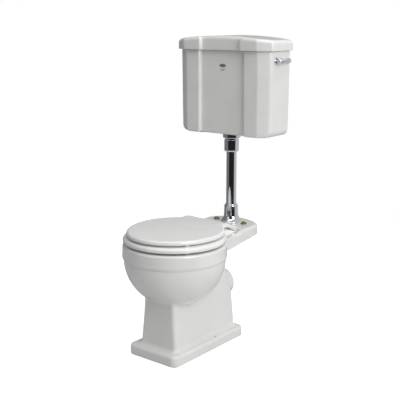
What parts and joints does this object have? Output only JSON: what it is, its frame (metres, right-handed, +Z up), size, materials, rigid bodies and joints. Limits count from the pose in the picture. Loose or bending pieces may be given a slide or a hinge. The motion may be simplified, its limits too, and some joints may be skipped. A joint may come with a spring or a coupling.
{
  "type": "medium-level toilet",
  "caption": "Floor-standing china toilet pan with a hinged seat and lid, an exposed chrome flush pipe and a wall-hung cistern with a side flush lever.",
  "frame": {"origin": "on the floor, under the middle of the whole suite's box", "axes": "+X to the right seen from the front, +Y towards the wall, +Z up"},
  "size_m": [0.4525, 0.588, 1.101],
  "materials": {
    "china": "white vitreous china with a clear gloss glaze",
    "seat_white": "white moulded thermoset, gloss",
    "chrome_plate": "polished chrome plate on brass",
    "brass": "machined brass",
    "rubber": "moulded black rubber",
    "white_plastic": "moulded white plastic",
    "grey_plastic": "moulded grey plastic"
  },
  "bodies": {
    "root": {"pan": "china", "shelf_bolts": "brass", "shelf_bolt_washers": "rubber", "shelf_bolt_nuts": "brass", "pan_connector": "rubber", "bell_cover": "chrome_plate", "flush_pipe": "chrome_plate", "coupling_nut": "chrome_plate", "coupling_olive": "rubber", "hinge_posts": "chrome_plate", "hinge_pins": "chrome_plate", "hinge_washers": "rubber", "hinge_nuts": "white_plastic", "cistern_tank": "china", "outlet_backnut": "chrome_plate", "valve_body": "white_plastic", "valve_washer": "rubber", "lever_rosette": "chrome_plate", "lever_bush": "brass", "lever_backnut": "brass", "fill_valve_body": "brass", "fill_valve_washer": "rubber", "fill_valve_backnut": "brass", "fill_nozzle": "white_plastic", "float_pivot_pin": "brass"},
    "seat": {"seat_ring": "seat_white", "seat_buffers": "white_plastic"},
    "lid": {"seat_lid": "seat_white", "lid_buffers": "white_plastic"},
    "lever": {"lever_handle": "chrome_plate", "lever_spindle": "brass", "flush_arm": "brass"},
    "link": {"lift_link": "grey_plastic"},
    "riser": {"valve_riser": "grey_plastic", "valve_seal": "rubber"},
    "float": {"float_arm": "brass", "float_ball": "grey_plastic"},
    "plunger": {"fill_plunger": "white_plastic"},
    "cistern_cover": {"cistern_lid": "china"}
  },
  "joints": [
    {"name": "seat_hinge", "type": "hinge", "parent": "root", "child": "seat", "pos_m": [0, 0.11, 0.42], "axis": [-1, 0, 0], "range_deg": [0, 91]},
    {"name": "lid_hinge", "type": "hinge", "parent": "seat", "child": "lid", "pos_m": [0, 0.11, 0.42], "axis": [1, 0, 0], "range_deg": [-91, 0]},
    {"name": "lever_turn", "type": "hinge", "parent": "root", "child": "lever", "pos_m": [0.2155, 0.202, 1.016], "axis": [-1, 0, 0], "range_deg": [0, 40], "stiffness_Nm_per_rad": 0.1, "springref_deg": -45.84},
    {"name": "link_turn", "type": "hinge", "parent": "lever", "child": "link", "pos_m": [0.0065, 0.17945, 1.00779], "axis": [-1, 0, 0], "range_deg": [-40, 0]},
    {"name": "riser_lift", "type": "slide", "parent": "root", "child": "riser", "axis": [0, 0, 1], "range_m": [0, 0.0165]},
    {"name": "float_swing", "type": "hinge", "parent": "root", "child": "float", "pos_m": [-0.13, 0.218, 0.988], "axis": [0, -1, 0], "range_deg": [0, 25]},
    {"name": "plunger_slide", "type": "slide", "parent": "root", "child": "plunger", "axis": [-1, 0, 0], "range_m": [0, 0.0054]},
    {"name": "cover_lift", "type": "slide", "parent": "root", "child": "cistern_cover", "axis": [0, 0, 1], "range_m": [0, 0.1]}
  ],
  "couplings": [
    {"joint": "link_turn", "follows": "lever_turn", "ratio": -1},
    {"joint": "riser_lift", "follows": "lever_turn", "m_per_rad": 0.023516},
    {"joint": "plunger_slide", "follows": "float_swing", "m_per_rad": 0.012147}
  ]
}
